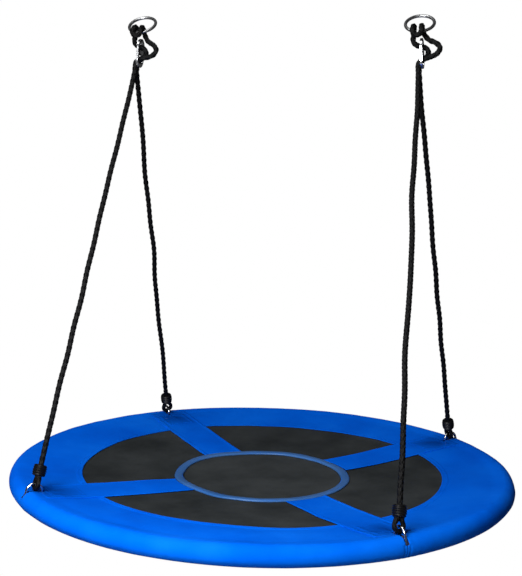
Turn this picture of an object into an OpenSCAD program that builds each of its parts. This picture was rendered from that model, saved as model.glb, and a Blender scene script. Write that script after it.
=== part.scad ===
// Saucer nest swing: a padded round steel frame with a sling seat, hung on two V-shaped ropes.
// Frame of reference: millimetres, +Z up, +X to the swing's right, +Y to its back.
// The origin is the middle of the seat's underside: the round rim rests on the plane z = 0.
// Modules are drawn about the frame tube's axis plane, and in_frame() lifts them into place.

/* [Seat] */
// Outside diameter of the seat over its cover
seat_d = 1000; // [900:10:1100]
// Radius of the padded rim, cover included
rim_r = 18.5; // [18.5:0.5:21]
// Slope of the seat cloth where it meets the rim, in degrees
cloth_slope = 7; // [5:0.5:9]
// Radius where the coloured rim band ends and the open mesh begins
band_inner_r = 360; // [330:5:390]
// Width of one radial strap
strap_w = 88; // [60:2:100]
// Outer and inner radius of the round trim at the middle
trim_outer_r = 178; // [150:1:200]
trim_inner_r = 157; // [130:1:179]

/* [Frame] */
// Outside diameter of the steel tube
tube_d = 22; // [20:1:22]
// Wall of the steel tube
tube_wall = 1.5; // [1.2:0.1:2]
// Length of the reduced end that plugs into the next tube
spigot_len = 45; // [35:5:55]

/* [Ropes] */
// Diameter of the rope
rope_d = 9; // [8:0.5:9]
// Height of the swing axis above the frame
swing_h = 873; // [700:1:1500]
// Distance between the two hanging points
hang_gap = 560; // [500:10:640]

/* [Steel rings] */
// Bar diameter of the round hanging ring
ring_bar = 6; // [5:0.5:6]
// Inside diameter of the round hanging ring
ring_hole = 48; // [44:1:60]
// Lean of the hanging ring's plane away from level, in degrees
ring_lean = 38; // [20:1:90]
// Bar diameter of the oval link at the rim
link_bar = 5; // [4.5:0.5:5]

/* [Hidden] */

RIGHT = 1;
LEFT = -1;
FRONT = -1;
BACK = 1;
fit_gap = 0.3;        // running gap between nested soft and hard parts
seam_gap = 0.1;       // gap between sewn layers that lie on each other

// Seat cloth: a shallow bowl, z = bowl_z + bowl_k * r^2, tangent to the top of the rim
rim_axis_r = seat_d / 2 - rim_r;
touch_r = rim_axis_r - rim_r * sin(cloth_slope);
bowl_k = tan(cloth_slope) / (2 * touch_r);
bowl_z = rim_r * cos(cloth_slope) - bowl_k * touch_r * touch_r;
cover_t = 1.2;
mesh_t = 0.8;
strap_t = 1.0;
trim_t = 1.6;
mesh_hem = 12;        // how far the mesh runs under the rim band
closing_seam_r = rim_axis_r - 41.5;   // where the underside of the rim sleeve is sewn to its top
cloth_steps = 8;      // straight steps that follow the bowl's curve

// Frame tube
tube_r = tube_d / 2;
tube_bore_r = tube_r - tube_wall;
spigot_r = tube_bore_r - 0.15;
spigot_bore_r = spigot_r - tube_wall;
spigot_deg = spigot_len / rim_axis_r * 180 / PI;
collar_deg = 0.5;     // short thick-walled shoulder between the spigot and the tube
joint_after_slot = 5; // degrees from a rim slot to the frame joint behind it
butt_deg = 0.02;      // gap where parts butt on the circle
foam_r = rim_r - cover_t - fit_gap;

// Snap button and its spring
button_r = 3.4;
button_stand = 2;     // how far the button stands out of the tube
button_foot_r = 4.4;
button_foot_t = 1.2;
button_foot_z = -6.2;
spring_w = 6;
spring_t = 0.8;
spring_len = 26;

// Oval link round the tube, and the slot in the cover that it comes out of
link_in_r = 12;
link_mid_r = link_in_r + link_bar / 2;
link_lift = link_in_r - tube_r - fit_gap;
link_straight = 19;
link_reach = link_lift + link_straight + link_in_r;   // tube axis to the inside of the link's top
link_lean = 18;       // lean towards the middle of the seat, in degrees
slot_half_w = 5.5;
slot_in = 29;
slot_out = 30;
slot_floor = 3.5;
foam_gap = 6;

// Rope lines. The eye rests under the link's top; the legs of one V meet at the knee below the hanger.
rope_r = rope_d / 2;
corner = rim_axis_r / sqrt(2);
eye_in = link_reach * sin(link_lean) / sqrt(2);
eye_xy = corner - eye_in;
eye_z = link_reach * cos(link_lean);
v_lean = atan((eye_xy - hang_gap / 2) / (swing_h - eye_z));
v_len = (swing_h - eye_z) / cos(v_lean);
knee_drop = 78;       // swing axis down to the knee
leg_top_y = rope_r + 0.2;
leg_rise = v_len - knee_drop;
leg_run = eye_xy - leg_top_y;
leg_angle = atan(leg_run / leg_rise);
leg_len = norm([leg_run, leg_rise]);

// Rope eye and ferrule, measured along the leg from the link's inner top
eye_mid_r = 9.6;
eye_gap = 2.1;
eye_low = eye_mid_r - rope_r - eye_gap;
neck_z = 15;          // where the two strands of the eye run together
ferrule_z = 17;
ferrule_len = 20.5;
ferrule_r = 13;
ferrule_ribs = 5;
tail_z = ferrule_z + 6;
merge_z = ferrule_z + 17;
eye_steps = 14;
knee_stub = 3.5;       // short upright end above the knee
strand_off = rope_r + 0.2;

// Hanger: round ring, adjuster plate and the head of the rope
ring_mid_r = (ring_hole + ring_bar) / 2;
plate_x = 7;
plate_t = 4;
plate_half_w = 16;
plate_top = -28.4;      // height of the upper hole
plate_low = -53.2;      // height of the lower slot
plate_hole_r = 7.8;
plate_slot_r = 8.4;     // half the slot's height
rope_sides = 14;      // facets round the rope

function cloth_z(r) = bowl_z + bowl_k * r * r;
function bowl_line(r0, r1, lift) =
    [for (i = [0 : cloth_steps]) let (r = r0 + (r1 - r0) * i / cloth_steps) [r, cloth_z(r) + lift]];
function reversed(list) = [for (i = [len(list) - 1 : -1 : 0]) list[i]];
function arc(radius, from, to, steps) =
    [for (i = [0 : steps]) let (a = from + (to - from) * i / steps)
        [rim_axis_r + radius * cos(a), radius * sin(a)]];

// ---- frame ----

// Round bar bent to the circle of the frame
module bar_ring(r, from, angle) {
    rotate([0, 0, from])
        rotate_extrude(angle = angle, $fn = 96)
            translate([rim_axis_r, 0]) circle(r = r, $fn = 48);
}

// Puts its child at a point of the tube's axis, +X outwards and +Y along the tube
module on_rim(angle) {
    rotate([0, 0, angle]) translate([rim_axis_r, 0, 0]) children();
}

module frame_tube(start) {
    joint = start + joint_after_slot;
    color("silver")
    difference() {
        union() {
            bar_ring(tube_r, joint, 90 - butt_deg);
            bar_ring(spigot_r, joint - spigot_deg, spigot_deg + collar_deg);
        }
        bar_ring(tube_bore_r, joint + collar_deg, 90);
        bar_ring(spigot_bore_r, joint - spigot_deg - 1, spigot_deg + 2);
        on_rim(joint - spigot_deg / 2) button_hole();
        on_rim(joint + 90 - spigot_deg / 2) button_hole();
    }
}

module button_hole() {
    translate([0, 0, -2 * tube_r]) cylinder(r = button_r + 0.2, h = 2 * tube_r, $fn = 32);
}

module snap_button(start) {
    color("gainsboro")
    on_rim(start + joint_after_slot - spigot_deg / 2) {
        stand = tube_r + button_stand - button_r / 2;
        translate([0, 0, -stand]) cylinder(r = button_r, h = stand + button_foot_z + 0.5, $fn = 32);
        translate([0, 0, -stand]) button_tip();
        translate([0, 0, button_foot_z]) cylinder(r = button_foot_r, h = button_foot_t, $fn = 32);
    }
}

// Rounded tip of the button, as a turned profile
module button_tip() {
    rotate_extrude($fn = 32)
        polygon([for (a = [0 : 15 : 90]) [button_r * cos(a), -button_r / 2 * sin(a)], [0, 0]]);
}

// V-shaped leaf: one arm carries the button, the other bears on the far wall of the bore
module snap_spring(start) {
    base = button_foot_z + button_foot_t + 0.1;
    splay = atan((spigot_bore_r - 2 - base) / spring_len);
    color("slategray")
    on_rim(start + joint_after_slot - spigot_deg / 2) {
        translate([-spring_w / 2, -spring_len * 0.15, base]) cube([spring_w, spring_len, spring_t]);
        translate([-spring_w / 2, spring_len * 0.85, base + spring_t])
            rotate([0, 90, 0]) cylinder(r = spring_t, h = spring_w, $fn = 24);
        translate([-spring_w / 2, spring_len * 0.85, base + spring_t])
            rotate([-splay, 0, 0])
                translate([0, -spring_len, 0]) cube([spring_w, spring_len, spring_t]);
    }
}

module foam_sleeve(start) {
    gap_deg = foam_gap / rim_axis_r * 180 / PI;
    color("dimgray")
    difference() {
        bar_ring(foam_r, start + gap_deg, 90 - 2 * gap_deg);
        bar_ring(tube_r + fit_gap, start, 90);
        on_rim(start + joint_after_slot - spigot_deg / 2)
            translate([0, 0, -rim_r]) cylinder(r = button_r + 1.6, h = rim_r, $fn = 32);
    }
}

// ---- sewn seat ----

// Space in the cover round a link
module slot_cut(angle) {
    on_rim(angle)
        translate([-slot_in, -slot_half_w, slot_floor])
            cube([slot_in + slot_out, 2 * slot_half_w, 3 * rim_r]);
}

// Angle on a circle round the rim's axis where a line from point p touches it from below
function low_touch(p, radius) =
    let (dx = p[0] - rim_axis_r, dz = p[1])
    atan2(dz, dx) + acos(radius / norm([dx, dz]));

// One seam-to-seam panel of the rim: a sleeve round the padding and a band that reaches the mesh
module rim_cover(start) {
    seam = [closing_seam_r, cloth_z(closing_seam_r)];
    inner_r = closing_seam_r + cover_t / sin(50);
    inner_seam = [inner_r, cloth_z(inner_r)];
    inside = rim_r - cover_t;
    top_angle = 90 + cloth_slope;
    color([0.02, 0.27, 0.82])
    difference() {
        rotate([0, 0, start + butt_deg])
            rotate_extrude(angle = 90 - 2 * butt_deg, $fn = 96)
                difference() {
                    polygon(concat(
                        bowl_line(band_inner_r, touch_r, 0),
                        reversed(arc(rim_r, low_touch(seam, rim_r) - 360, top_angle, 28)),
                        [seam],
                        reversed(bowl_line(band_inner_r, closing_seam_r - 2, -cover_t))
                    ));
                    polygon(concat(
                        [inner_seam - [0, cover_t]],
                        bowl_line(inner_r + 4, touch_r, -cover_t),
                        reversed(arc(inside, low_touch(inner_seam, inside) - 360, top_angle, 28))
                    ));
                }
        slot_cut(start);
        slot_cut(start + 90);
    }
}

module seat_mesh() {
    edge = band_inner_r + mesh_hem;
    lift = -cover_t - seam_gap;
    color([0.16, 0.17, 0.18])
    rotate_extrude($fn = 96)
        polygon(concat(bowl_line(0, edge, lift), reversed(bowl_line(0, edge, lift - mesh_t))));
}

module seat_strap(angle) {
    from = trim_outer_r + 0.5;
    to = rim_axis_r - 14;
    color([0.03, 0.30, 0.88])
    difference() {
        intersection() {
            rotate_extrude($fn = 96)
                polygon(concat(
                    bowl_line(from, to, seam_gap),
                    reversed(bowl_line(from, to, seam_gap + strap_t))
                ));
            rotate([0, 0, angle])
                translate([0, -strap_w / 2, bowl_z]) cube([rim_axis_r, strap_w, 4 * rim_r]);
        }
        slot_cut(angle);
    }
}

module centre_trim() {
    mid = (trim_outer_r + trim_inner_r) / 2;
    half = (trim_outer_r - trim_inner_r) / 2;
    base = cloth_z(mid) - cover_t;
    crown = 12;
    color([0.10, 0.38, 0.88])
    rotate_extrude($fn = 96)
        polygon(concat(
            [for (i = [0 : crown]) let (u = 2 * i / crown - 1)
                [mid + half * u, base + bowl_k * 2 * mid * half * u + 0.4 + trim_t * sqrt(1 - u * u * 0.96)]],
            [[mid + half, base + bowl_k * 2 * mid * half],
             [mid - half, base - bowl_k * 2 * mid * half]]
        ));
}

// ---- steel rings ----

module hang_ring(side) {
    color("lightgray")
    translate([side * hang_gap / 2, 0, swing_h])
        rotate([ring_lean, 0, 0])
            translate([0, ring_mid_r, 0])
                rotate_extrude($fn = 96)
                    translate([ring_mid_r, 0]) circle(r = ring_bar / 2, $fn = 32);
}

// Half a turn of round bar in the XZ plane, open downwards
module half_turn(mid_r, bar) {
    rotate([90, 0, 0])
        rotate_extrude(angle = 180, $fn = 64)
            translate([mid_r, 0]) circle(r = bar / 2, $fn = 32);
}

module oval_link() {
    color("gainsboro") {
        translate([0, 0, link_lift + link_straight]) half_turn(link_mid_r, link_bar);
        translate([0, 0, link_lift]) mirror([0, 0, 1]) half_turn(link_mid_r, link_bar);
        for (x = [-link_mid_r, link_mid_r])
            translate([x, 0, link_lift]) cylinder(r = link_bar / 2, h = link_straight, $fn = 32);
    }
}

// Draws its child for the right front corner, mirrored to the corner asked for
module at_corner(side, end) {
    mirror([side == LEFT ? 1 : 0, 0, 0])
        mirror([0, end == BACK ? 1 : 0, 0])
            children();
}

module rim_link(side, end) {
    at_corner(side, end)
        on_rim(-45)
            rotate([0, -link_lean, 0])
                oval_link();
}

// ---- ropes ----

// Frame of the right front leg: origin under the link's top, +Z up the leg
module on_leg() {
    translate([eye_xy, -eye_xy, eye_z])
        rotate([0, -v_lean, 0])
            rotate([-leg_angle, 0, 0])
                rotate([0, 0, 45])
                    children();
}

// Way of the rope through one leg: cut tail, eye round the link, neck, straight run, knee
function eye_bend() =
    [for (i = [0 : eye_steps]) let (a = 180 + 180 * i / eye_steps)
        [eye_mid_r * cos(a), 0, eye_low + eye_mid_r * sin(a)]];
function neck_point(side, t) =
    [side * (strand_off + (eye_mid_r - strand_off) * (1 + cos(180 * t)) / 2), 0,
     eye_low + (neck_z - eye_low) * t];
leg_path = concat(
    [[-strand_off, 0, tail_z]],
    [for (i = [6 : -1 : 1]) neck_point(-1, i / 6)],
    eye_bend(),
    [for (i = [1 : 6]) neck_point(1, i / 6)],
    [[strand_off, 0, tail_z], [0, 0, merge_z],
     [0, 0, leg_len - 4], [0, 0, leg_len]
         + knee_stub * [-sin(leg_angle) / sqrt(2), -sin(leg_angle) / sqrt(2), cos(leg_angle)]]
);

module rope_legs(side) {
    color([0.05, 0.05, 0.06])
    for (end = [FRONT, BACK])
        at_corner(side, end)
            on_leg() swept_rope(leg_path, rope_r);
}

// Moulded ferrule over the two strands of an eye: a barrel with rounded ribs
function ferrule_edge(z) =
    ferrule_r - 1.6 * pow(abs(2 * z / ferrule_len - 1), 3)
    - 0.65 * (1 + cos(360 * z * ferrule_ribs / ferrule_len));

module ferrule() {
    clear = rope_r + 0.15;
    steps = 8 * ferrule_ribs;
    slot_h = merge_z - ferrule_z + 0.5;
    difference() {
        rotate_extrude($fn = 64)
            polygon(concat([[0, 0]],
                [for (i = [0 : steps]) let (z = ferrule_len * i / steps) [ferrule_edge(z), z]],
                [[0, ferrule_len]]));
        translate([0, 0, -1]) {
            for (s = [-1, 1]) translate([s * strand_off, 0, 0]) cylinder(r = clear, h = slot_h + 1, $fn = 32);
            translate([-strand_off, -clear, 0]) cube([2 * strand_off, 2 * clear, slot_h + 1]);
        }
        translate([0, 0, slot_h - 0.5]) cylinder(r = rope_r + 0.1, h = ferrule_len, $fn = 32);
    }
}

module rope_ferrule(side, end) {
    color([0.09, 0.09, 0.10])
    at_corner(side, end)
        on_leg()
            translate([0, 0, ferrule_z]) ferrule();
}

// ---- hanger ----

// Frame of a hanger: origin on the swing axis, -Z down the plane of the V
module on_hanger(side) {
    translate([side * hang_gap / 2, 0, swing_h])
        rotate([0, -side * v_lean, 0])
            children();
}

module adjuster(side) {
    color("gainsboro")
    on_hanger(side)
        translate([plate_x - plate_t / 2, 0, 0])
            rotate([0, 90, 0])
                difference() {
                    union() {
                        for (z = [plate_top, plate_low])
                            translate([-z, 0, 0]) cylinder(r = plate_half_w, h = plate_t, $fn = 96);
                        translate([-plate_top, -plate_half_w, 0])
                            cube([plate_top - plate_low, 2 * plate_half_w, plate_t]);
                    }
                    translate([-plate_top, 0, -1]) cylinder(r = plate_hole_r, h = plate_t + 2, $fn = 64);
                    for (s = [-1, 1])
                        translate([-plate_low, s * leg_top_y, -1])
                            cylinder(r = plate_slot_r, h = plate_t + 2, $fn = 64);
                    translate([-plate_low - plate_slot_r, -leg_top_y, -1])
                        cube([2 * plate_slot_r, 2 * leg_top_y, plate_t + 2]);
                }
}

// Way of the rope through the hanger: lower slot, slack loop, cow hitch round the ring,
// upper hole, and back through the lower slot
head_path = [
    [0, -leg_top_y, -73],
    [0.3, -leg_top_y, -61],
    [plate_x, -leg_top_y, plate_low],
    [17, -4.2, -50],
    [34, -2, -43.6],
    [40.7, 0, -32.4],
    [33, 3, -22.8],
    [19.1, 6.8, -15.7],
    [9.4, 11.6, -3.3],
    [7.2, 4.5, 10.1],
    [8.1, -7.8, 7.1],
    [7.6, -11.5, -3],
    [0, -12.7, -7.5],
    [-7.6, -11.5, -3],
    [-8.1, -7.8, 7.1],
    [-7.2, 4.5, 10.1],
    [-9.4, 11.6, -3.3],
    [-10.1, 6.8, -15.7],
    [-4, 2, -24.4],
    [plate_x, 0, plate_top],
    [15.9, 1, -32.6],
    [18.5, 3, -39.6],
    [15, leg_top_y, -46.6],
    [plate_x, leg_top_y, plate_low],
    [0.3, leg_top_y, -61],
    [0, leg_top_y, -73]
];

// Point of a Catmull-Rom curve through list p, between points i and i + 1
function on_curve(p, i, t) =
    let (last = len(p) - 1, a = p[max(i - 1, 0)], b = p[i], c = p[min(i + 1, last)], d = p[min(i + 2, last)])
    0.5 * (2 * b + (c - a) * t + (2 * a - 5 * b + 4 * c - d) * t * t + (3 * b - a - 3 * c + d) * t * t * t);
function curve(p, steps) =
    concat([for (i = [0 : len(p) - 2], j = [0 : steps - 1]) on_curve(p, i, j / steps)], [p[len(p) - 1]]);
function unit(v) = v / norm(v);
function directions(p) =
    [for (i = [0 : len(p) - 1])
        let (ahead = i < len(p) - 1 ? unit(p[i + 1] - p[i]) : [0, 0, 0],
             behind = i > 0 ? unit(p[i] - p[i - 1]) : [0, 0, 0])
        unit(ahead + behind)];
// Sideways directions carried along the curve without twist
function carried(d, i = 0, side = undef, out = []) =
    i == len(d) ? out
    : let (s = i == 0 ? unit(cross(d[0], [0.3, 1, 0.2])) : unit(side - (side * d[i]) * d[i]))
      carried(d, i + 1, s, concat(out, [s]));

module swept_rope(path, r) {
    d = directions(path);
    s = carried(d);
    n = len(path);
    points = [for (i = [0 : n - 1], k = [0 : rope_sides - 1])
        let (a = 360 * k / rope_sides)
        path[i] + r * (cos(a) * s[i] + sin(a) * cross(d[i], s[i]))];
    sides = [for (i = [0 : n - 2], k = [0 : rope_sides - 1])
        let (a = i * rope_sides + k, b = i * rope_sides + (k + 1) % rope_sides)
        [a, a + rope_sides, b + rope_sides, b]];
    cap_0 = [[for (k = [0 : rope_sides - 1]) k]];
    cap_1 = [[for (k = [rope_sides - 1 : -1 : 0]) (n - 1) * rope_sides + k]];
    polyhedron(points, concat(sides, cap_0, cap_1), convexity = 10);
}

module rope_head(side) {
    color([0.05, 0.05, 0.06])
    on_hanger(side) swept_rope(curve(head_path, 3), rope_r);
}

// ---- nodes ----

module in_frame() {
    translate([0, 0, rim_r]) children();
}

in_frame() hang_ring(LEFT);  // left_hang_ring
in_frame() hang_ring(RIGHT);  // right_hang_ring
in_frame() adjuster(LEFT);  // left_adjuster
in_frame() adjuster(RIGHT);  // right_adjuster
in_frame() rope_head(LEFT);  // left_rope_head
in_frame() rope_head(RIGHT);  // right_rope_head
in_frame() rope_legs(LEFT);  // left_rope_legs
in_frame() rope_legs(RIGHT);  // right_rope_legs
in_frame() rope_ferrule(LEFT, FRONT);  // left_front_ferrule
in_frame() rope_ferrule(LEFT, BACK);  // left_back_ferrule
in_frame() rope_ferrule(RIGHT, FRONT);  // right_front_ferrule
in_frame() rope_ferrule(RIGHT, BACK);  // right_back_ferrule
in_frame() rim_link(LEFT, FRONT);  // left_front_link
in_frame() rim_link(LEFT, BACK);  // left_back_link
in_frame() rim_link(RIGHT, FRONT);  // right_front_link
in_frame() rim_link(RIGHT, BACK);  // right_back_link
in_frame() frame_tube(225);  // frame_tube_front
in_frame() frame_tube(315);  // frame_tube_right
in_frame() frame_tube(45);  // frame_tube_back
in_frame() frame_tube(135);  // frame_tube_left
in_frame() snap_button(225);  // snap_button_front
in_frame() snap_button(315);  // snap_button_right
in_frame() snap_button(45);  // snap_button_back
in_frame() snap_button(135);  // snap_button_left
in_frame() snap_spring(225);  // snap_spring_front
in_frame() snap_spring(315);  // snap_spring_right
in_frame() snap_spring(45);  // snap_spring_back
in_frame() snap_spring(135);  // snap_spring_left
in_frame() foam_sleeve(225);  // foam_front
in_frame() foam_sleeve(315);  // foam_right
in_frame() foam_sleeve(45);  // foam_back
in_frame() foam_sleeve(135);  // foam_left
in_frame() rim_cover(225);  // rim_cover_front
in_frame() rim_cover(315);  // rim_cover_right
in_frame() rim_cover(45);  // rim_cover_back
in_frame() rim_cover(135);  // rim_cover_left
in_frame() seat_strap(225);  // strap_left_front
in_frame() seat_strap(135);  // strap_left_back
in_frame() seat_strap(315);  // strap_right_front
in_frame() seat_strap(45);  // strap_right_back
in_frame() seat_mesh();
in_frame() centre_trim();
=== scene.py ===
"""Looks for the saucer nest swing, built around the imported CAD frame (metres, row frame, +Z up)."""

import math

import bmesh
import bpy
import numpy as np
from mathutils import Matrix, Vector, noise


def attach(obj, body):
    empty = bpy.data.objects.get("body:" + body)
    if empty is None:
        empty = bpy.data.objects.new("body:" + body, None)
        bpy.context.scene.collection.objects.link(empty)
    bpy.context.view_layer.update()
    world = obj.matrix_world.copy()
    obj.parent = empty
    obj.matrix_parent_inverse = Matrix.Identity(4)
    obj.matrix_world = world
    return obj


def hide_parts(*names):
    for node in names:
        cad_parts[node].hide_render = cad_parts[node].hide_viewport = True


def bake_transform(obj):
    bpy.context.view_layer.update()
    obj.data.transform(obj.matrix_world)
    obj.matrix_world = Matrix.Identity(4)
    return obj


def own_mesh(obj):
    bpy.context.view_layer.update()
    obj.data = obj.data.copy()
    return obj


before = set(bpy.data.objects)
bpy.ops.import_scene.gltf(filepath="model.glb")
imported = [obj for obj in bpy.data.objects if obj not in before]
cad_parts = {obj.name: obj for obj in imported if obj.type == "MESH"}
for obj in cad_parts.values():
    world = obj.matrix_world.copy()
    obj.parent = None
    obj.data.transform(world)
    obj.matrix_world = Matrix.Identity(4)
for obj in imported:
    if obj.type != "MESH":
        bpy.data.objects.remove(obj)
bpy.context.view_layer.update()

# bearing of each rope's foot, and of each quarter's start, in degrees from +X
CORNERS = {"left_front": 225, "left_back": 135, "right_front": 315, "right_back": 45}
QUARTERS = {"front": 225, "right": 315, "back": 45, "left": 135}
# share of the full step by which each cover laps over its neighbour
LAP = {"front": 1.0, "right": 0.25, "back": 0.9, "left": 0.5}

# ---- sizes, in metres, as in the CAD ----
RIM_R = 0.0185                    # padded rim, round its tube
LIFT = RIM_R                      # height of the tube's plane
AXIS_R = 0.5 - RIM_R              # radius of the hoop
SLOPE = math.radians(7)           # of the bowl where it meets the rim
TOUCH_R = AXIS_R - RIM_R * math.sin(SLOPE)
BOWL_K = math.tan(SLOPE) / (2 * TOUCH_R)
BOWL_Z = RIM_R * math.cos(SLOPE) - BOWL_K * TOUCH_R ** 2 + LIFT
SEAM_R = AXIS_R - 0.0415          # closing seam under the rim
BAND_R = 0.360                    # inner edge of the blue band
MESH_R = BAND_R + 0.012
TRIM_IN, TRIM_OUT = 0.157, 0.178
STRAP_W = 0.088
SLOT_HALF, SLOT_IN = 0.0037, 0.029    # slot for a link: half its width, and how far inboard it starts
ROPE_R = 0.0045
HANG_X, HANG_H = 0.280, 0.873     # swing axis, above the tube's plane
SWING_Z = HANG_H + LIFT
KNEE_DROP = 0.078                 # swing axis down to the knee

# ---- sizes of the looks only ----
SLOT_FLOOR = 0.0085               # the cover closes over the link's leg up to here
MESH_DROP, MESH_T = 0.0013, 0.0008    # mesh under the band, and its thickness
STITCH_LEN, STITCH_GAP, STITCH_R = 0.0031, 0.0013, 0.00034
TINY = 1e-9                       # length of a normal that has no direction


def cloth_z(r):
    """Height of the even bowl at radius r."""
    return BOWL_Z + BOWL_K * r * r


# ---- small helpers ----

def smooth(t):
    t = np.clip(t, 0, 1)
    return t * t * (3 - 2 * t)


def noise_at(points, scale, seed):
    """Smooth noise in -1..1 at each point, the same each run."""
    off = Vector((seed * 3.17, seed * 1.71, seed * 2.39))
    return np.array([noise.noise(Vector(p) * scale + off) for p in points])


def new_object(name, verts, faces, material=None, smooth_shade=True):
    mesh = bpy.data.meshes.new(name)
    mesh.from_pydata([tuple(v) for v in verts], [], [tuple(f) for f in faces])
    mesh.validate()
    mesh.update()
    if smooth_shade:
        mesh.polygons.foreach_set("use_smooth", [True] * len(mesh.polygons))
    obj = bpy.data.objects.new(name, mesh)
    bpy.context.scene.collection.objects.link(obj)
    if material:
        mesh.materials.append(material)
    return obj


def grid_faces(nu, nv, closed_u=False, closed_v=False):
    """Quads of an nu by nv grid of points, numbered along v first."""
    faces = []
    for i in range(nu if closed_u else nu - 1):
        for j in range(nv if closed_v else nv - 1):
            a = i * nv + j
            b = ((i + 1) % nu) * nv + j
            c = ((i + 1) % nu) * nv + (j + 1) % nv
            d = i * nv + (j + 1) % nv
            faces.append((a, b, c, d))
    return faces


def normals_of(verts, faces):
    """Unit normals at the points of a mesh of quads."""
    v = np.asarray(verts, float)
    f = np.asarray(faces, int)
    n = np.cross(v[f[:, 2]] - v[f[:, 0]], v[f[:, 3]] - v[f[:, 1]])
    out = np.zeros_like(v)
    for k in range(4):
        np.add.at(out, f[:, k], n)
    length = np.linalg.norm(out, axis=1)
    length[length < TINY] = 1
    return out / length[:, None]


def facing_up(verts, faces):
    """The quads, turned so that on the whole they face upwards."""
    return faces if normals_of(verts, faces)[:, 2].mean() >= 0 else [q[::-1] for q in faces]


def even_normals(mesh):
    """Faces turned outwards, and points that no face uses removed."""
    bm = bmesh.new()
    bm.from_mesh(mesh)
    bmesh.ops.delete(bm, geom=[v for v in bm.verts if not v.link_faces], context="VERTS")
    bmesh.ops.recalc_face_normals(bm, faces=bm.faces)
    bm.to_mesh(mesh)
    bm.free()


def along_line(line, run, at):
    """Points of a polyline at the distances in at, where run is its running length."""
    return np.stack([np.interp(at, run, line[:, k]) for k in range(3)], 1)


def running_length(line):
    return np.concatenate([[0], np.cumsum(np.linalg.norm(np.diff(line, axis=0), axis=1))])


# ---- materials: every one is built from nodes ----

class Shade:
    """A node material under construction."""

    def __init__(self, name):
        self.mat = bpy.data.materials.new(name)
        self.mat.use_nodes = True
        self.tree = self.mat.node_tree
        self.nodes = self.tree.nodes
        self.bsdf = self.nodes["Principled BSDF"]

    def add(self, kind, **values):
        node = self.nodes.new(kind)
        for key, value in values.items():
            if hasattr(node, key):
                setattr(node, key, value)
            else:
                node.inputs[key].default_value = value
        return node

    def link(self, a, b):
        self.tree.links.new(a, b)

    def put(self, **values):
        """Values of the shader's inputs, with _ for a space in their names."""
        for key, value in values.items():
            self.bsdf.inputs[key.replace("_", " ")].default_value = value

    def math(self, op, a, b=None):
        node = self.add("ShaderNodeMath", operation=op)
        for k, v in enumerate((a, b)):
            if v is None:
                continue
            if isinstance(v, (int, float)):
                node.inputs[k].default_value = v
            else:
                self.link(v, node.inputs[k])
        return node.outputs[0]

    def place(self, attribute=None):
        """Row-frame position, or the cloth coordinates (metres along and across the weave)."""
        if attribute:
            return self.add("ShaderNodeAttribute", attribute_name=attribute).outputs["Vector"]
        return self.add("ShaderNodeTexCoord").outputs["Object"]

    def noise(self, vector, scale, detail=3.0, rough=0.5):
        node = self.add("ShaderNodeTexNoise", Scale=scale, Detail=detail, Roughness=rough)
        self.link(vector, node.inputs["Vector"])
        return node.outputs["Fac"]

    def ramp(self, fac, *stops):
        node = self.add("ShaderNodeValToRGB")
        elements = node.color_ramp.elements
        while len(elements) < len(stops):
            elements.new(0.5)
        for element, (pos, colour) in zip(elements, stops):
            element.position = pos
            element.color = (*colour, 1)
        self.link(fac, node.inputs["Fac"])
        return node.outputs["Color"]

    def between(self, fac, low, high):
        """fac, from 0..1 to low..high."""
        node = self.add("ShaderNodeMapRange")
        node.inputs["To Min"].default_value = low
        node.inputs["To Max"].default_value = high
        self.link(fac, node.inputs["Value"])
        return node.outputs["Result"]

    def bump(self, height, strength, distance):
        """Another layer of relief, on top of those already there."""
        node = self.add("ShaderNodeBump", Strength=strength, Distance=distance)
        self.link(height, node.inputs["Height"])
        old = self.bsdf.inputs["Normal"]
        if old.is_linked:
            self.link(old.links[0].from_socket, node.inputs["Normal"])
        self.link(node.outputs["Normal"], old)

    def colour(self, socket):
        self.link(socket, self.bsdf.inputs["Base Color"])

    def rough(self, socket):
        self.link(socket, self.bsdf.inputs["Roughness"])

    def apart(self, vector):
        """The X and Y sockets of a vector."""
        node = self.add("ShaderNodeSeparateXYZ")
        self.link(vector, node.inputs[0])
        return node.outputs[0], node.outputs[1]

    def threads(self, xy, pitch):
        """Two crossing sets of waves, one pitch apart."""
        turn = 2 * math.pi / pitch
        return [self.math("SINE", self.math("MULTIPLY", part, turn)) for part in xy]


def cloth_material(name, dark, base, light, pitch=0.0022, rough=(0.50, 0.64), gloss=0.03, coat=0.0,
                   sheen=(0.03, 0.40, 1.0)):
    """Woven cloth; the mesh's attribute "dark" takes it towards navy as painted shade, and "cloth" places
    the weave.
    """
    s = Shade(name)
    broad = s.noise(s.place(), 7.0, 4.0, 0.55)
    tint = s.ramp(broad, (0.30, dark), (0.50, base), (0.72, light))
    # painted shade: the "dark" attribute mixes the tint towards navy
    shade = s.add("ShaderNodeMix", data_type="RGBA")
    s.link(s.add("ShaderNodeAttribute", attribute_name="dark").outputs["Fac"], shade.inputs[0])
    s.link(tint, shade.inputs[6])
    shade.inputs[7].default_value = PAINTED_SHADE_NAVY
    s.colour(shade.outputs[2])
    s.rough(s.between(s.noise(s.place(), 40.0), *rough))
    s.bump(s.noise(s.place(), 55.0, 5.0, 0.6), 0.25, 0.0006)
    s.bump(s.math("MULTIPLY", *s.threads(s.apart(s.place("cloth")), pitch)), 0.35, 0.00012)
    s.put(Coat_Weight=coat, Coat_Roughness=0.3, Specular_IOR_Level=gloss, Specular_Tint=(*sheen, 1))
    return s.mat


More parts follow.
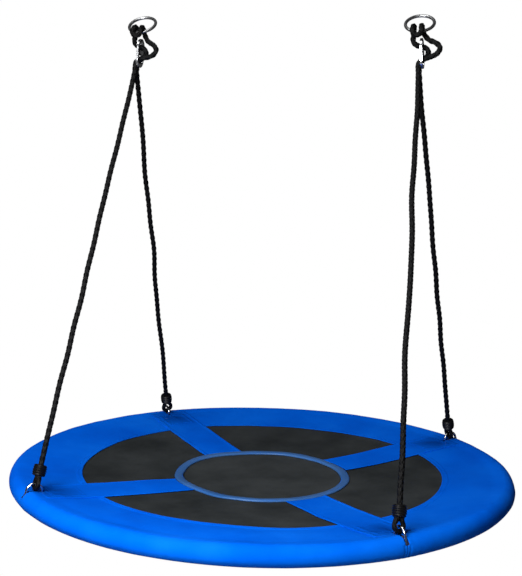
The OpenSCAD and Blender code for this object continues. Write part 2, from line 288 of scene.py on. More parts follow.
def mesh_material():
    """Dark open mesh, a shade lighter inside the trim."""
    s = Shade("mesh_cloth")
    at = s.place()
    x, y = s.apart(at)
    threads = s.math("MAXIMUM", *s.threads((x, y), 0.0022))
    fine = s.between(threads, 0.0, 1.0)
    broad = s.noise(at, 9.0, 4.0, 0.6)
    mixed = s.math("ADD", s.math("MULTIPLY", fine, 0.22), s.math("MULTIPLY", broad, 0.78))
    out = s.math("SQRT", s.math("ADD", s.math("POWER", x, 2), s.math("POWER", y, 2)))
    mixed = s.math("ADD", mixed, s.math("MULTIPLY", s.math("LESS_THAN", out, TRIM_IN), 0.11))
    s.colour(s.ramp(mixed, (0.25, (0.015, 0.017, 0.018)), (0.5, (0.031, 0.035, 0.037)),
                    (0.75, (0.052, 0.057, 0.060))))
    s.rough(s.between(s.noise(at, 30.0), 0.55, 0.75))
    s.bump(threads, 0.45, 0.0003)
    s.put(Specular_IOR_Level=0.03)
    return s.mat


def rope_material():
    s = Shade("rope_cord")
    at = s.place()
    s.colour(s.ramp(s.noise(at, 260.0, 4.0, 0.6), (0.3, (0.002, 0.002, 0.0022)),
                    (0.62, (0.004, 0.004, 0.0045)), (0.85, (0.011, 0.011, 0.012))))
    s.rough(s.between(s.noise(at, 150.0), 0.45, 0.7))
    fibre = s.add("ShaderNodeTexWave", Scale=420.0, Distortion=6.0, Detail=2.0)
    s.link(at, fibre.inputs["Vector"])
    s.bump(fibre.outputs["Fac"], 0.35, 0.0002)
    s.put(Specular_IOR_Level=0.14)
    return s.mat


def metal_material(name, low, high, rough, metallic=1.0):
    s = Shade(name)
    at = s.place()
    s.colour(s.ramp(s.noise(at, 60.0, 4.0), (0.3, low), (0.7, high)))
    s.rough(s.between(s.noise(at, 140.0, 5.0), *rough))
    s.bump(s.noise(at, 900.0, 2.0), 0.25, 0.00005)
    s.bump(s.noise(at, 120.0, 3.0), 0.2, 0.00015)
    s.put(Metallic=metallic)
    return s.mat


def plastic_material(name, low, high, rough):
    s = Shade(name)
    at = s.place()
    s.colour(s.ramp(s.noise(at, 90.0, 4.0), (0.3, low), (0.7, high)))
    s.rough(s.between(s.noise(at, 200.0), *rough))
    s.bump(s.noise(at, 700.0, 2.0), 0.25, 0.0001)
    s.put(Specular_IOR_Level=0.3)
    return s.mat


def foam_material():
    s = Shade("foam")
    at = s.place()
    cells = s.add("ShaderNodeTexVoronoi", Scale=650.0)
    s.link(at, cells.inputs["Vector"])
    s.colour(s.ramp(cells.outputs["Distance"],
                    (0.0, (0.030, 0.030, 0.032)), (0.6, (0.075, 0.075, 0.078))))
    s.bump(cells.outputs["Distance"], 0.5, 0.0004)
    s.put(Roughness=0.9)
    return s.mat


# navy of the painted shade that the "dark" attribute mixes into the cloth
PAINTED_SHADE_NAVY = (0.0, 0.012, 0.10, 1)
BLUE = cloth_material("blue_cloth", (0.0, 0.105, 0.72), (0.0, 0.130, 0.82), (0.002, 0.160, 0.90))
STRAP_BLUE = cloth_material("strap_cloth", (0.0, 0.100, 0.68), (0.0, 0.122, 0.78), (0.002, 0.150, 0.86),
                            pitch=0.0028)
TRIM_BLUE = cloth_material("trim_cloth", (0.022, 0.105, 0.33), (0.042, 0.140, 0.39), (0.065, 0.175, 0.44),
                           pitch=0.0018, rough=(0.26, 0.36), gloss=0.35, coat=0.15, sheen=(0.6, 0.8, 1.0))
THREAD = cloth_material("blue_thread", (0.0, 0.11, 0.70), (0.0, 0.14, 0.80), (0.01, 0.18, 0.88),
                        pitch=0.0008)
MESH = mesh_material()
ROPE = rope_material()
FERRULE = plastic_material("ferrule_plastic", (0.0015, 0.0015, 0.002), (0.004, 0.004, 0.005), (0.35, 0.5))
RING_STEEL = metal_material("ring_steel", (0.34, 0.345, 0.35), (0.50, 0.505, 0.51), (0.30, 0.44))
LINK_STEEL = metal_material("link_steel", (0.66, 0.67, 0.69), (0.90, 0.91, 0.93), (0.08, 0.20))
PLATE_STEEL = metal_material("adjuster_steel", (0.60, 0.61, 0.63), (0.84, 0.85, 0.87), (0.16, 0.32))
TUBE_STEEL = metal_material("tube_steel", (0.30, 0.31, 0.32), (0.46, 0.47, 0.48), (0.30, 0.5),
                            metallic=0.9)
BUTTON_STEEL = metal_material("button_steel", (0.5, 0.51, 0.52), (0.7, 0.71, 0.72), (0.2, 0.4))
SPRING_STEEL = metal_material("spring_steel", (0.10, 0.11, 0.13), (0.2, 0.21, 0.23), (0.25, 0.45))
FOAM = foam_material()


def repaint(node, material):
    """A CAD node keeps its shape and takes a procedural material."""
    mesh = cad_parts[node].data
    mesh.materials.clear()
    mesh.materials.append(material)


for side in ("left", "right"):
    repaint(side + "_hang_ring", RING_STEEL)
    repaint(side + "_adjuster", PLATE_STEEL)
for corner in CORNERS:
    repaint(corner + "_link", LINK_STEEL)
    repaint(corner + "_ferrule", FERRULE)
for quarter in QUARTERS:
    repaint("frame_tube_" + quarter, TUBE_STEEL)
    repaint("snap_button_" + quarter, BUTTON_STEEL)
    repaint("foam_" + quarter, FOAM)


def build_spring(quarter):
    """The leaf spring between its tube and its button, as a copy of its CAD node."""
    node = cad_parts["snap_spring_" + quarter]
    points = np.array([node.matrix_world @ v.co for v in node.data.vertices])
    faces = [tuple(face.vertices) for face in node.data.polygons]
    obj = new_object("spring_" + quarter, points, faces, SPRING_STEEL, smooth_shade=False)
    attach(obj, "seat")
    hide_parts("snap_spring_" + quarter)
    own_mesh(obj)


# ---- sewn seat ----

class Cloth:
    """Sheets and stitches of one sewn piece, gathered into a single mesh."""

    def __init__(self, name, *materials):
        self.name, self.materials = name, materials
        self.verts, self.faces, self.index, self.dark = [], [], [], []
        self.count = 0

    def put(self, verts, faces, material=0, dark=None):
        """More points and faces; material counts the ones the piece was made with."""
        verts = np.asarray(verts, float)
        self.verts.append(verts)
        self.dark.append(np.zeros(len(verts)) if dark is None else np.asarray(dark, float).reshape(-1))
        self.faces += [tuple(int(i) + self.count for i in f) for f in faces]
        self.index += [material] * len(faces)
        self.count += len(verts)

    def sheet(self, verts, faces, thickness, dark, keep=None):
        """The quads, or those that keep marks, with a copy moved back and the edge between the two."""
        v = np.asarray(verts, float)
        f = np.asarray(faces, int)
        back = v - normals_of(v, f) * np.asarray(thickness).reshape(-1, 1)
        if keep is not None:
            f = f[keep]
        sides = {(a, b) for quad in f for a, b in zip(quad, np.roll(quad, -1))}
        rim = [(a, b) for a, b in sorted(sides) if (b, a) not in sides]
        m = len(v)
        every = [tuple(q) for q in f] + [tuple(m + i for i in q[::-1]) for q in f]
        every += [(b, a, a + m, b + m) for a, b in rim]
        self.put(np.concatenate([v, back]), every, dark=np.concatenate([dark, dark]))

    def stitches(self, path, lift, length=STITCH_LEN):
        """A row of short stitches along path, a function of 0..1 that gives points on the cloth."""
        line = path(np.linspace(0, 1, 400))
        run = running_length(line)
        n = int(run[-1] / (length + STITCH_GAP))
        mid, near = (np.arange(n) + 0.5) * run[-1] / n, 0.0005
        at = along_line(line, run, mid)
        d = along_line(line, run, mid + near) - along_line(line, run, mid - near)
        d /= np.linalg.norm(d, axis=1)[:, None]
        up = np.stack([-2 * BOWL_K * at[:, 0], -2 * BOWL_K * at[:, 1], np.ones(n)], 1)
        up /= np.linalg.norm(up, axis=1)[:, None]
        side = np.cross(d, up)
        # place along a stitch, its girth there and its rise, as shares of the length and the radius
        shape = [(-0.5, 0.0, -0.5), (-0.33, 0.8, 0.1), (0.0, 1.0, 0.45), (0.33, 0.8, 0.1),
                 (0.5, 0.0, -0.5)]
        verts, faces = [], []
        for i in range(n):
            base = len(verts)
            for s, w, h in shape:
                c = at[i] + d[i] * s * length + up[i] * (lift + h * STITCH_R)
                if w == 0:
                    verts.append(c)
                    continue
                for k in range(6):
                    a = k * math.pi / 3
                    verts.append(c + (side[i] * math.cos(a) + up[i] * math.sin(a)) * STITCH_R * w)
            for k in range(6):
                n1 = (k + 1) % 6
                faces.append((base, base + 1 + n1, base + 1 + k))
                for ring in (base + 1, base + 7):
                    faces.append((ring + k, ring + n1, ring + 6 + n1, ring + 6 + k))
                faces.append((base + 13 + k, base + 13 + n1, base + 19))
        self.put(verts, faces, material=1)

    def finish(self, uv, node):
        """The piece as an object on the seat, in place of its CAD node."""
        obj = new_object(self.name, np.concatenate(self.verts), self.faces)
        for material in self.materials:
            obj.data.materials.append(material)
        obj.data.polygons.foreach_set("material_index", self.index)
        # painted shade at each point, which the cloth materials mix towards navy
        dark = obj.data.attributes.new("dark", "FLOAT", "POINT")
        dark.data.foreach_set("value", np.concatenate(self.dark).astype(np.float32))
        cloth = obj.data.attributes.new("cloth", "FLOAT_VECTOR", "POINT")
        data = np.zeros((self.count, 3), np.float32)
        data[:, :2] = uv(np.concatenate(self.verts))
        cloth.data.foreach_set("vector", data.ravel())
        even_normals(obj.data)
        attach(obj, "seat")
        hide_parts(node)


def ring_uv(co):
    """Cloth coordinates round the rim and over it."""
    r = np.hypot(co[:, 0], co[:, 1])
    return np.stack([np.arctan2(co[:, 1], co[:, 0]) * AXIS_R, r + np.abs(co[:, 2] - LIFT)], 1)


def flat_uv(co):
    return co[:, :2]


def strap_frame(corner):
    """Unit vectors along a strap, outwards, and across it."""
    a = math.radians(CORNERS[corner])
    return np.array([math.cos(a), math.sin(a)]), np.array([-math.sin(a), math.cos(a)])


def from_slot(x, y, corner, inboard=0.0):
    """Distances along and across the strap, from a point inboard of its slot's inner end."""
    along, across = strap_frame(corner)
    s = x * along[0] + y * along[1] - (AXIS_R - SLOT_IN - inboard)
    return s, x * across[0] + y * across[1]


def slack(x, y):
    """Height the sewn layers share over the even bowl, from uneven tension and the pull at the slots."""
    r = np.hypot(x, y)
    a = np.arctan2(y, x)
    wave = 0.0011 * np.sin(3 * a + 0.7) * smooth(r / 0.3)
    wave = wave + 0.0007 * np.sin(5 * a - 1.1 + 9 * r) * smooth(r / 0.25)
    pts = np.stack([x, y, 0 * x], -1).reshape(-1, 3)
    rough = 0.0022 * noise_at(pts, 7.0, 1).reshape(r.shape)
    rough = rough + 0.0007 * noise_at(pts, 19.0, 2).reshape(r.shape)
    height = (wave + rough) * (1 - smooth((r - 0.40) / 0.07))
    for corner in CORNERS:
        s, t = from_slot(x, y, corner)
        d = np.hypot(s, t)
        phi = np.arctan2(t, -s)
        crease = np.exp(-d / 0.034) * smooth(d / 0.010)
        height += crease * (0.0021 * np.cos(5 * phi + 0.4) - 0.0016) * (1 - smooth((r - 0.440) / 0.025))
    return height


def painted_slot_shade(x, y):
    """Painted shade inboard of the slots: 1 there, falling to 0 a hand's width away."""
    out = 0 * x
    for corner in CORNERS:
        s, t = from_slot(x, y, corner, 0.012)
        out = np.maximum(out, np.exp(-(s / 0.046) ** 2 - (t / 0.036) ** 2))
    return out


def on_seat(x, y):
    """Points of the sagging bowl over x and y."""
    return np.stack([x, y, cloth_z(np.hypot(x, y)) + slack(x, y)], -1)


def build_mesh_cloth():
    """The mesh as two grids from a hub outwards, joined at the edge."""
    nu, nv = 216, 64
    angle = np.linspace(0, 2 * math.pi, nu, endpoint=False)
    a, r = np.meshgrid(angle, np.linspace(0.0015, MESH_R, nv), indexing="ij")
    top = on_seat(r * np.cos(a), r * np.sin(a)).reshape(-1, 3) - [0, 0, MESH_DROP]
    low = top - [0, 0, MESH_T]
    m = nu * nv
    quads = grid_faces(nu, nv, closed_u=True)
    faces = quads + [tuple(m + i for i in q[::-1]) for q in quads]
    for i in range(nu):
        k = (i + 1) % nu
        faces.append((i * nv, k * nv, 2 * m))
        faces.append((m + k * nv, m + i * nv, 2 * m + 1))
        faces.append((k * nv + nv - 1, i * nv + nv - 1, m + i * nv + nv - 1, m + k * nv + nv - 1))
    hub = on_seat(np.zeros(1), np.zeros(1)) - [0, 0, MESH_DROP]
    cloth = Cloth("seat_mesh_cloth", MESH)
    cloth.put(np.concatenate([top, low, hub, hub - [0, 0, MESH_T]]), faces)
    cloth.finish(flat_uv, "seat_mesh")


# points of the cover's section round the padding and back to the seam, and rows of quads underneath
ROLL_STEPS, BACK_STEPS, UNDER_ROWS = 64, 12, 24


def rim_profile():
    """(r, z, rim) along the cover: hem, band, round the padding, and back up to the closing seam."""
    pts = [(r, cloth_z(r), 0) for r in
           [BAND_R + k for k in (0, 0.0007, 0.0018, 0.0032, 0.0055, 0.0085, 0.0112, 0.0126, 0.0140)]]
    pts += [(r, cloth_z(r), 0) for r in np.linspace(BAND_R + 0.0165, TOUCH_R, 40)]
    seam = (SEAM_R, cloth_z(SEAM_R) - 0.0016)
    dx, dz = seam[0] - AXIS_R, seam[1] - LIFT
    low = math.atan2(dz, dx) + math.acos(RIM_R / math.hypot(dx, dz)) - 2 * math.pi
    for t in np.linspace(math.pi / 2 + SLOPE, low, ROLL_STEPS)[1:]:
        pts.append((AXIS_R + RIM_R * math.cos(t), LIFT + RIM_R * math.sin(t), 1))
    end = pts[-1]
    for k in np.linspace(0, 1, BACK_STEPS)[1:]:
        pts.append((end[0] + (seam[0] - end[0]) * k, end[1] + (seam[1] - end[1]) * k, 1))
    return np.array(pts)


def build_rim_cover(quarter, start):
    """One quarter of the cover, with its half of the slot at each end."""
    base, end = math.radians(start), math.pi / 2
    near = np.array([0.0001, 0.0019, 0.0037, 0.0045, 0.0057, 0.0074, 0.0098, 0.0130, 0.0175]) / AXIS_R
    clear = 0.0235 / AXIS_R
    local = np.concatenate([near, np.linspace(clear, end - clear, 150), (end - near)[::-1]])
    profile = rim_profile()
    nu, nv = len(local), len(profile)
    a = np.repeat((base + local)[:, None], nv, 1)
    r, z, rolled = (np.repeat(profile[None, :, k], nu, 0) for k in range(3))
    x, y = r * np.cos(a), r * np.sin(a)
    z = z + np.where(rolled == 0, slack(x, y), 0)
    verts = np.stack([x, y, z], -1).reshape(-1, 3)
    faces = grid_faces(nu, nv)
    n = normals_of(verts, faces)
    if n[20 * nv + 20, 2] < 0:        # a point in the middle of the band
        n = -n
        faces = [q[::-1] for q in faces]
    # distances along the rim: from the nearer end of the cover, and from its first end
    gap = (np.minimum(local, end - local) * AXIS_R).repeat(nv)
    first = (local * AXIS_R).repeat(nv)
    r, rolled = r.reshape(-1), rolled.reshape(-1)
    rim = np.where(rolled == 1, 1.0, smooth((r - 0.455) / 0.02))
    under = smooth((LIFT - 0.004 - verts[:, 2]) / 0.008)
    soft, fine = noise_at(verts, 9.0, 5), noise_at(verts, 70.0, 7)
    fold = noise_at(verts * [1, 1, 0.3], 26.0, 6)
    # padding under the cloth, puckers at the ends, and the lap over the neighbour
    puff = 0.0008 * (1 + soft) + 0.0008 * np.clip(fold, 0, 1) + 0.00015 * (1 + fine)
    pucker = np.abs(np.sin(gap / 0.0074 * math.pi + 3 * soft)) * np.exp(-gap / 0.020) * 0.0009
    step = 0.0009 * LAP[quarter] * np.exp(-first / 0.012) * (1 - 0.6 * under)
    out = rim * (puff * smooth(gap / 0.014) * (1 - 0.75 * under) + pucker + step)
    # welt round each slot, and the stitched hem and beaded edge at the mesh
    welt = np.exp(-((gap - 0.0058) / 0.0019) ** 2)
    welt *= (verts[:, 2] > LIFT + SLOT_FLOOR) * (r > AXIS_R - SLOT_IN - 0.004)
    out += 0.0009 * welt * rim
    hem = (rolled == 0) * (1 - smooth((r - BAND_R - 0.0112) / 0.0014))
    bead = (rolled == 0) * np.clip(1 - ((r - BAND_R - 0.0016) / 0.0022) ** 2, 0, 1)
    out += 0.0006 * hem + 0.0007 * bead
    verts = verts + n * out[:, None]
    # the quads left out for the slots, none of them underneath
    centre = verts[np.asarray(faces, int)].mean(1)
    span = (local[:-1] + local[1:]) / 2
    t = (np.minimum(span, end - span) * AXIS_R).repeat(nv - 1)
    upper = np.tile(np.arange(nv - 1) < nv - UNDER_ROWS, nu - 1)
    hole = (t < SLOT_HALF) & (np.hypot(centre[:, 0], centre[:, 1]) > AXIS_R - SLOT_IN) & upper
    hole &= centre[:, 2] > LIFT + SLOT_FLOOR
    thickness = 0.0011 + 0.0010 * hem
    # painted shade towards navy: inboard of each slot on the band, and at each end of the cover, where it
    # meets its neighbour at the slot
    dark = 0.55 * painted_slot_shade(verts[:, 0], verts[:, 1]) * (rolled == 0) + 0.2 * np.exp(-gap / 0.003) * rim
    cloth = Cloth("cover_" + quarter, BLUE, THREAD)
    cloth.sheet(verts, faces, thickness, dark, keep=~hole)

    def hem_line(k):
        angle, radius = base + 0.012 + (end - 0.024) * k, BAND_R + 0.0095
        return on_seat(radius * np.cos(angle), radius * np.sin(angle))

    cloth.stitches(hem_line, 0.0007)
    cloth.finish(ring_uv, "rim_cover_" + quarter)


def strap_layer(cloth, corner, s_in, s_out, width, lift, thickness, notch=False, dark=0.0,
                cells=(12, 70)):
    """A layer of strap cloth on the seat; s_in and s_out give where its ends are at each place across."""
    along, across = strap_frame(corner)
    half = width / 2
    edge = -half + np.array([0, 0.0006, 0.0018, 0.0034, 0.0062, 0.0071])
    inner = np.linspace(-half + 0.0095, -SLOT_HALF - 0.0008, cells[0])
    t = np.concatenate([edge, inner, [-SLOT_HALF, -0.0018]])
    t = np.concatenate([t, -t[::-1]])
    k = np.concatenate([[0, 0.004, 0.012, 0.03], np.linspace(0.05, 0.92, cells[1]),
                        np.linspace(0.93, 1, 10)])
    tt, kk = np.meshgrid(t, k, indexing="ij")
    s = s_in(tt) + (s_out(tt) - s_in(tt)) * kk
    x, y = s * along[0] + tt * across[0], s * along[1] + tt * across[1]
    point = on_seat(x, y)
    to_edge = half - np.abs(tt)
    hem = 0.0004 * (1 - smooth((to_edge - 0.0062) / 0.0010)) - 0.0005 * (1 - smooth(to_edge / 0.0018))
    soft = noise_at(point.reshape(-1, 3), 26.0, 11).reshape(s.shape)
    point[..., 2] += lift + thickness + hem + 0.0005 * np.clip(soft, 0, 1)
    verts = point.reshape(-1, 3)
    faces = facing_up(verts, grid_faces(len(t), len(k)))
    keep = None
    if notch:
        c = verts[np.asarray(faces, int)].mean(1)
        keep = ~((np.abs(c[:, :2] @ across) < SLOT_HALF) & (c[:, :2] @ along > AXIS_R - SLOT_IN))
    # painted shade towards navy inboard of the slot, added to the layer's own share
    cloth.sheet(verts, faces, thickness, dark + 0.55 * painted_slot_shade(verts[:, 0], verts[:, 1]), keep=keep)


def build_strap(corner):
    """A strap from the trim to the rim, its end folded back and boxed down inboard of the slot."""
    along, across = strap_frame(corner)
    inner, outer = TRIM_OUT + 0.0006, AXIS_R - 0.0145
    edge = STRAP_W / 2 - 0.0048
    cloth = Cloth("strap_cloth_" + corner, STRAP_BLUE, THREAD)
    strap_layer(cloth, corner,
                lambda t: np.sqrt(inner ** 2 - t ** 2), lambda t: np.sqrt(outer ** 2 - t ** 2),
                STRAP_W, lift=0.0002, thickness=0.0010, notch=True)
    fold_in, fold_out, fold_half = 0.386, AXIS_R - SLOT_IN - 0.001, 0.031
    # the folded end takes a little more painted shade
    strap_layer(cloth, corner,
                lambda t: fold_in + 0 * t, lambda t: fold_out + 0 * t,
                2 * fold_half, lift=0.0012, thickness=0.0004, dark=0.10, cells=(6, 22))

    def line(s0, t0, s1, t1):
        def path(k):
            s, t = s0 + (s1 - s0) * k, t0 + (t1 - t0) * k
            return on_seat(s * along[0] + t * across[0], s * along[1] + t * across[1])
        return path

    lift, box_in, box_out = 0.0017, fold_in + 0.004, fold_out - 0.004
    for t in (-edge, edge):
        cloth.stitches(line(inner + 0.004, t, outer - 0.012, t), lift)
    for t in (-0.027, 0.027):
        cloth.stitches(line(box_in, t, box_out, t), lift)
    for s in (box_in, box_out):
        cloth.stitches(line(s, -0.026, s, 0.026), lift)
    cloth.finish(lambda co: np.stack([co[:, :2] @ along, co[:, :2] @ across], 1),
                 "strap_" + corner)


def build_trim():
    """The padded ring: a crowned top over a flat bottom, with a row of stitches along each edge."""
    nu, nv = 300, 24
    mid, half = (TRIM_IN + TRIM_OUT) / 2, (TRIM_OUT - TRIM_IN) / 2
    a, u = np.meshgrid(np.linspace(0, 2 * math.pi, nu, endpoint=False), np.linspace(-1, 1, nv),
                       indexing="ij")
    r = mid + half * 0.86 * u + 0.0006 * np.sin(7 * a + 1) + 0.0004 * np.sin(13 * a)
    x, y = r * np.cos(a), r * np.sin(a)
    crown = 0.0042 * np.sqrt(np.clip(1 - np.abs(u) ** 3.0, 0, 1))
    ripple = 0.0002 * np.sin(a * 150) * (1 - u ** 2)
    top, low = on_seat(x, y), on_seat(x, y)
    top[..., 2] += crown + ripple - 0.0009
    low[..., 2] -= 0.00115
    ring = np.concatenate([top, low[:, ::-1][:, 1:-1]], 1)
    cloth = Cloth("centre_trim_binding", TRIM_BLUE, THREAD)
    cloth.put(ring.reshape(-1, 3), grid_faces(nu, ring.shape[1], closed_u=True, closed_v=True))

    def trim_uv(co):
        return np.stack([np.arctan2(co[:, 1], co[:, 0]) * mid, np.hypot(co[:, 0], co[:, 1])], 1)

    def circle(radius):
        return lambda k: on_seat(radius * np.cos(2 * math.pi * k), radius * np.sin(2 * math.pi * k))

    for radius in (TRIM_IN + 0.0038, TRIM_OUT - 0.0038):
        cloth.stitches(circle(radius), 0.0019, length=0.0026)
    cloth.finish(trim_uv, "centre_trim")


# ---- ropes: one braided cord a side ----

LINK_REACH, LINK_LEAN = 0.0317, math.radians(18)    # tube axis to the inside of the link's top
STRAND = 0.0047                   # half the distance between two strands side by side
# along a leg from the link's inner top: the eye's centre, its neck, the tucked end, and where the two
# strands are one; and where the leg starts to hang free
EYE_LOW, NECK_Z, TAIL_Z, MERGE_Z, FREE_Z = 0.0030, 0.015, 0.023, 0.034, 0.045
EYE_R = 0.0096
EYE_XY = (AXIS_R - LINK_REACH * math.sin(LINK_LEAN)) / math.sqrt(2)
EYE_Z = LINK_REACH * math.cos(LINK_LEAN)
V_LEAN = math.atan((EYE_XY - HANG_X) / (HANG_H - EYE_Z))
LEG_RISE = (HANG_H - EYE_Z) / math.cos(V_LEAN) - KNEE_DROP
LEG_RUN = EYE_XY - STRAND
LEG_ANGLE, LEG_LEN = math.atan2(LEG_RUN, LEG_RISE), math.hypot(LEG_RUN, LEG_RISE)
BRAID_PITCH = 0.0132
# the upper rope from knee to knee, in millimetres from the swing axis: through the adjuster, up over
# the ring, back down and through the adjuster again
HEAD = [(0, -4.7, -73), (0.3, -4.7, -61), (7, -4.7, -53.2), (17, -4.2, -50), (34, -2, -43.6),
        (40.7, 0, -32.4), (33, 3, -22.8), (19.1, 6.8, -15.7), (9.4, 11.6, -3.3), (7.2, 4.5, 10.1),
        (8.1, -7.8, 7.1), (7.6, -11.5, -3), (0, -12.7, -7.5), (-7.6, -11.5, -3), (-8.1, -7.8, 7.1),
        (-7.2, 4.5, 10.1), (-9.4, 11.6, -3.3), (-10.1, 6.8, -15.7), (-4, 2, -24.4), (7, 0, -28.4),
        (15.9, 1, -32.6), (18.5, 3, -39.6), (15, 4.7, -46.6), (7, 4.7, -53.2), (0.3, 4.7, -61),
        (0, 4.7, -73)]


def leg_points(side, end):
    """One leg of the rope, from the end tucked in the ferrule, round the link and up to the knee."""
    neck = [(STRAND + (EYE_R - STRAND) * (1 + math.cos(math.pi * t)) / 2,
             EYE_LOW + (NECK_Z - EYE_LOW) * t)
            for t in np.linspace(0, 1, 7)[1:]]
    pts = [(-STRAND, 0, TAIL_Z)] + [(-x, 0, z) for x, z in neck[::-1]]
    pts += [(EYE_R * math.cos(t), 0, EYE_LOW + EYE_R * math.sin(t))
            for t in np.linspace(math.pi, 2 * math.pi, 13)]
    pts += [(x, 0, z) for x, z in neck]
    pts += [(STRAND, 0, TAIL_Z - 0.002), (0.0004, 0, MERGE_Z), (0, 0, FREE_Z)]
    # the free leg hangs with a slight wander, which dies out at both ends
    seed = 2.3 * side + 4.1 * end
    for z in np.arange(FREE_Z + 0.017, LEG_LEN - 0.03, 0.022):
        k = math.sin(math.pi * (z - FREE_Z) / (LEG_LEN - FREE_Z)) ** 0.6
        wave = k * (0.0016 * math.sin(z * 21 + seed) + 0.0008 * math.sin(z * 47 + 2 * seed))
        sway = k * (0.0013 * math.cos(z * 17 - seed) + 0.0006 * math.sin(z * 58 + seed))
        pts.append((wave, sway, z))
    pts.append((0, 0, LEG_LEN - 0.006))
    turn = (Matrix.Rotation(-V_LEAN, 3, "Y") @ Matrix.Rotation(-LEG_ANGLE, 3, "X")
            @ Matrix.Rotation(math.radians(45), 3, "Z"))
    out = []
    for p in pts:
        q = turn @ Vector(p) + Vector((EYE_XY, -EYE_XY, EYE_Z))
        out.append((q.x * side, q.y * -end, q.z + LIFT))
    return out


def hang_place(side, point):
    """A point given from the swing axis, in the plane of one side's hanging rope."""
    return Matrix.Rotation(-side * V_LEAN, 3, "Y") @ Vector(point) + Vector((side * HANG_X, 0, SWING_Z))


def head_points(side):
    return [tuple(hang_place(side, Vector(p) / 1000)) for p in HEAD]


def even_curve(points, step):
    """Catmull-Rom curve through the points, resampled at even steps."""
    p = np.asarray(points, float)
    p = np.vstack([2 * p[0] - p[1], p, 2 * p[-1] - p[-2]])
    dense = []
    for i in range(1, len(p) - 2):
        t = np.linspace(0, 1, 24, endpoint=False)[:, None]
        a, b, c, d = p[i - 1], p[i], p[i + 1], p[i + 2]
        dense.append(0.5 * (2 * b + (c - a) * t + (2 * a - 5 * b + 4 * c - d) * t ** 2
                            + (3 * b - a - 3 * c + d) * t ** 3))
    dense = np.vstack(dense + [p[-2][None]])
    run = running_length(dense)
    s = np.linspace(0, run[-1], int(run[-1] / step))
    return s, along_line(dense, run, s)


def cord_frames(line):
    """Two unit vectors across the line at each of its points, which never twist about it."""
    tangent = np.gradient(line, axis=0)
    tangent /= np.linalg.norm(tangent, axis=1)[:, None]
    first = np.cross(tangent[0], [0.3, 0.9, 0.1])
    first /= np.linalg.norm(first)
    frames = [first]
    for i in range(1, len(line)):
        v = frames[-1] - tangent[i] * (frames[-1] @ tangent[i])
        frames.append(v / np.linalg.norm(v))
    u = np.array(frames)
    return u, np.cross(tangent, u)


def braid_height(s, theta):
    """Relief of a braid, 0..1: two sets of plaits wind opposite ways and cross over in turn."""
    turn = math.pi / BRAID_PITCH * s[:, None]
    a, b = 2 * theta[None, :] - turn, 2 * theta[None, :] + turn
    sa, sb = np.abs(np.sin(a)), np.abs(np.sin(b))
    over = (np.floor(a / math.pi) + np.floor(b / math.pi)) % 2
    return np.where(over == 0, sa ** 0.35 * sb ** 0.8, sa ** 0.8 * sb ** 0.35)


def build_cord(word, side):
    """One unbroken cord: up a leg, through the adjuster, over the ring and down the other leg."""
    path = leg_points(side, -1) + head_points(side) + leg_points(side, 1)[::-1]
    s, line = even_curve(path, step=0.0013)
    for _ in range(3):
        line[1:-1] = (line[:-2] + 2 * line[1:-1] + line[2:]) / 4
    u, v = cord_frames(line)
    n, nv = len(line), 40
    theta = np.linspace(0, 2 * math.pi, nv, endpoint=False)
    height = braid_height(s, theta)
    # the cord is pulled tight where it goes round the link, and its two ends are drawn in
    snug = (1 - smooth((line[:, 2] - LIFT - EYE_Z - 0.006) / 0.010))[:, None]
    taper = np.clip(np.minimum(s, s[-1] - s) / 0.004, 0.2, 1)[:, None]
    radius = (ROPE_R - 0.0005 + 0.0015 * height - snug * (0.0006 + 0.0004 * height)) * taper
    across = (u[:, None, :] * np.cos(theta)[None, :, None] + v[:, None, :] * np.sin(theta)[None, :, None])
    ring = line[:, None, :] + across * radius[..., None]
    faces = grid_faces(n, nv, closed_v=True)
    faces.append(tuple(range(nv)))
    faces.append(tuple(range((n - 1) * nv + nv - 1, (n - 1) * nv - 1, -1)))
    obj = new_object(word + "_cord", ring.reshape(-1, 3), faces, ROPE)
    even_normals(obj.data)
    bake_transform(obj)
    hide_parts(word + "_rope_head", word + "_rope_legs")


build_mesh_cloth()
for quarter, start in QUARTERS.items():
    build_rim_cover(quarter, start)
    build_spring(quarter)
for corner in CORNERS:
    build_strap(corner)
build_trim()
build_cord("left", -1)
build_cord("right", 1)


# ---- floor, light and camera ----

FLOOR_Z, FLOOR_R = -0.90, 14.0
ROOM_LIGHT = 0.06
CAMERA_AT = (0.618666, -2.177785, 0.67739)
CAMERA_ROUND, CAMERA_DOWN, CAMERA_ROLL = 16.151, 7.163, 1.406    # degrees; round is from the front
CAMERA_LENS = 71.849                                             # mm


def seen_white(tree, lit, out):
    """The camera sees an even white; every other ray gets the lit shader."""
    path, mix, white = (tree.nodes.new("ShaderNode" + kind)
                        for kind in ("LightPath", "MixShader", "Emission"))
    white.inputs["Color"].default_value = (1, 1, 1, 1)
    tree.links.new(path.outputs["Is Camera Ray"], mix.inputs[0])
    tree.links.new(lit, mix.inputs[1])
    tree.links.new(white.outputs[0], mix.inputs[2])
    tree.links.new(mix.outputs[0], out)


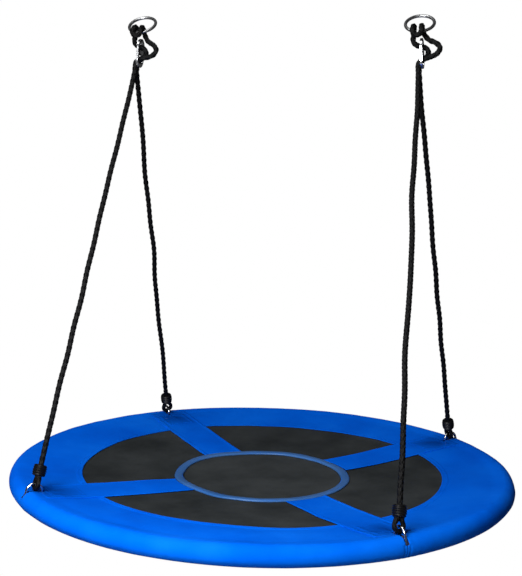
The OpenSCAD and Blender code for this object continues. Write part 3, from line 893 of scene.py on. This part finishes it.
def build_floor():
    """Wide pale floor well under the swing, as white as the room for the camera and clear from below."""
    rings, around = 24, 96
    a, r = np.meshgrid(np.linspace(0, 2 * math.pi, around, endpoint=False),
                       np.linspace(0.2, FLOOR_R, rings), indexing="ij")
    verts = np.stack([r * np.cos(a), r * np.sin(a), np.full(a.shape, FLOOR_Z)], -1).reshape(-1, 3)
    faces = facing_up(verts, grid_faces(around, rings, closed_u=True))
    obj = new_object("floor", verts, faces + [tuple(i * rings for i in range(around))])
    s = Shade("floor_paint")
    s.colour(s.ramp(s.noise(s.place(), 0.8, 2.0), (0.3, (0.40, 0.40, 0.41)), (0.7, (0.46, 0.46, 0.47))))
    s.put(Roughness=0.9)
    face, clear, side = (s.add("ShaderNode" + kind)
                         for kind in ("NewGeometry", "BsdfTransparent", "MixShader"))
    s.link(face.outputs["Backfacing"], side.inputs[0])
    s.link(clear.outputs[0], side.inputs[2])
    s.link(side.outputs[0], s.nodes["Material Output"].inputs["Surface"])
    seen_white(s.tree, s.bsdf.outputs[0], side.inputs[1])
    obj.data.materials.append(s.mat)


def area_light(name, at, to, size, power):
    """A rectangular light at one point, aimed at another."""
    data = bpy.data.lights.new(name, "AREA")
    data.shape = "RECTANGLE"
    data.size, data.size_y = size
    data.energy = power
    obj = bpy.data.objects.new(name, data)
    obj.location = at
    obj.rotation_euler = (Vector(to) - Vector(at)).to_track_quat("-Z", "Y").to_euler()
    bpy.context.scene.collection.objects.link(obj)


def build_light():
    """Soft key over the front, a light above, and a dim room that the camera sees as white."""
    world = bpy.data.worlds.new("studio")
    world.use_nodes = True
    nodes, link = world.node_tree.nodes, world.node_tree.links.new
    room = nodes["Background"]
    at, split, ramp = (nodes.new("ShaderNode" + kind) for kind in ("TexCoord", "SeparateXYZ", "ValToRGB"))
    link(at.outputs["Generated"], split.inputs[0])
    link(split.outputs["Z"], ramp.inputs["Fac"])
    ramp.color_ramp.elements[0].color = (1.0, 1.0, 1.0, 1)
    ramp.color_ramp.elements[1].position = 0.6
    ramp.color_ramp.elements[1].color = (0.45, 0.46, 0.48, 1)
    link(ramp.outputs["Color"], room.inputs["Color"])
    room.inputs["Strength"].default_value = ROOM_LIGHT
    seen_white(world.node_tree, room.outputs[0], nodes["World Output"].inputs["Surface"])
    bpy.context.scene.world = world
    area_light("key", at=(-0.15, -1.55, 0.80), to=(-0.02, -0.42, 0.0), size=(1.0, 0.5), power=29)
    area_light("top", at=(-0.45, -1.0, 2.6), to=(-0.05, -0.1, 0.0), size=(1.1, 1.1), power=27)


def build_camera():
    """Camera to the right of the front, a little above the seat, with a slight roll."""
    az, el, roll = (math.radians(k) for k in (CAMERA_ROUND, CAMERA_DOWN, CAMERA_ROLL))
    away = Vector((math.sin(az) * math.cos(el), -math.cos(az) * math.cos(el), math.sin(el)))
    right = Vector((math.cos(az), math.sin(az), 0))
    up = away.cross(right)
    c, s = math.cos(roll), math.sin(roll)
    right, up = right * c + up * s, up * c - right * s
    data = bpy.data.cameras.new("camera")
    data.lens = CAMERA_LENS
    data.sensor_width = 36
    data.clip_end = 60
    obj = bpy.data.objects.new("camera", data)
    turn = Matrix((right, up, away)).transposed().to_4x4()
    obj.matrix_world = Matrix.Translation(CAMERA_AT) @ turn
    bpy.context.scene.collection.objects.link(obj)
    bpy.context.scene.camera = obj


build_floor()
build_light()
build_camera()
bpy.context.scene.view_settings.view_transform = "Standard"
